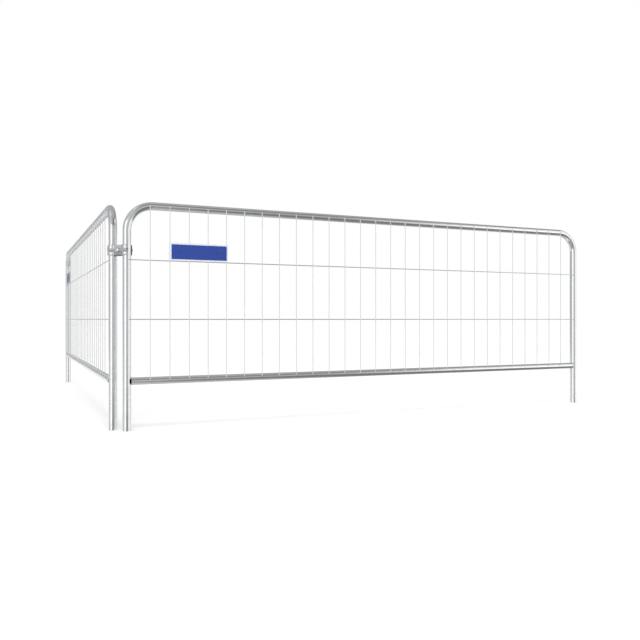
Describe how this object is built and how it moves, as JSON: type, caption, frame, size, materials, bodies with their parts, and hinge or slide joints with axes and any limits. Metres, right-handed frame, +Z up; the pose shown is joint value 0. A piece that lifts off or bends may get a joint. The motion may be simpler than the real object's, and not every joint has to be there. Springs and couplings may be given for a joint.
{
  "type": "temporary fence panel",
  "caption": "Low round-top tube fence panels with a welded wire mesh and plain legs, standing at a corner and joined by a bolted clamp coupler in which both panels swing.",
  "frame": {"origin": "centre of the front panel's corner leg, at the ground", "axes": "+X along the front panel away from the corner, +Y along the side panel away from the corner, +Z up; the outer faces look to -Y and -X"},
  "size_m": [3.0535, 3.0536, 1.16],
  "materials": {
    "galvanised_tube": "bright galvanised steel tube",
    "zinc_wire": "bright galvanised steel wire",
    "sign_sheet": "gloss blue field with a white border on sheet steel",
    "pressed_steel": "zinc-plated pressed steel",
    "zinc_hardware": "zinc-plated steel fasteners"
  },
  "bodies": {
    "coupler": {"coupler_outer_shell": "pressed_steel", "coupler_bolt": "zinc_hardware"},
    "front_panel": {"front_frame_tube": "galvanised_tube", "front_bottom_rail": "galvanised_tube", "front_upright_wires": "zinc_wire", "front_upper_cross_wire": "zinc_wire", "front_middle_cross_wire": "zinc_wire", "front_sign_plate": "sign_sheet", "front_sign_clamp_strips": "zinc_hardware", "front_sign_screws": "zinc_hardware", "front_sign_nuts": "zinc_hardware"},
    "side_panel": {"side_frame_tube": "galvanised_tube", "side_bottom_rail": "galvanised_tube", "side_upright_wires": "zinc_wire", "side_upper_cross_wire": "zinc_wire", "side_middle_cross_wire": "zinc_wire", "side_sign_plate": "sign_sheet", "side_sign_clamp_strips": "zinc_hardware", "side_sign_screws": "zinc_hardware", "side_sign_nuts": "zinc_hardware"},
    "coupler_jaw": {"coupler_inner_shell": "pressed_steel", "coupler_washer": "zinc_hardware"},
    "coupler_nut": {"coupler_nut": "zinc_hardware"}
  },
  "joints": [
    {"name": "front_panel_swing", "type": "hinge", "parent": "coupler", "child": "front_panel", "pos_m": [0, 0, 0.91], "axis": [0, 0, 1], "range_deg": [-135, 45]},
    {"name": "side_panel_swing", "type": "hinge", "parent": "coupler", "child": "side_panel", "pos_m": [-0.0601, 0.0601, 0.91], "axis": [0, 0, 1], "range_deg": [-45, 135]},
    {"name": "jaw_slide", "type": "slide", "parent": "coupler", "child": "coupler_jaw", "axis": [0.7071, 0.7071, 0], "range_m": [0, 0.015]},
    {"name": "nut_turn", "type": "hinge", "parent": "coupler_jaw", "child": "coupler_nut", "pos_m": [-0.03005, 0.03005, 0.91], "axis": [0.7071, 0.7071, 0], "range_deg": [0, 3090]}
  ],
  "couplings": [
    {"joint": "nut_turn", "follows": "jaw_slide", "rad_per_m": 3590.4}
  ]
}
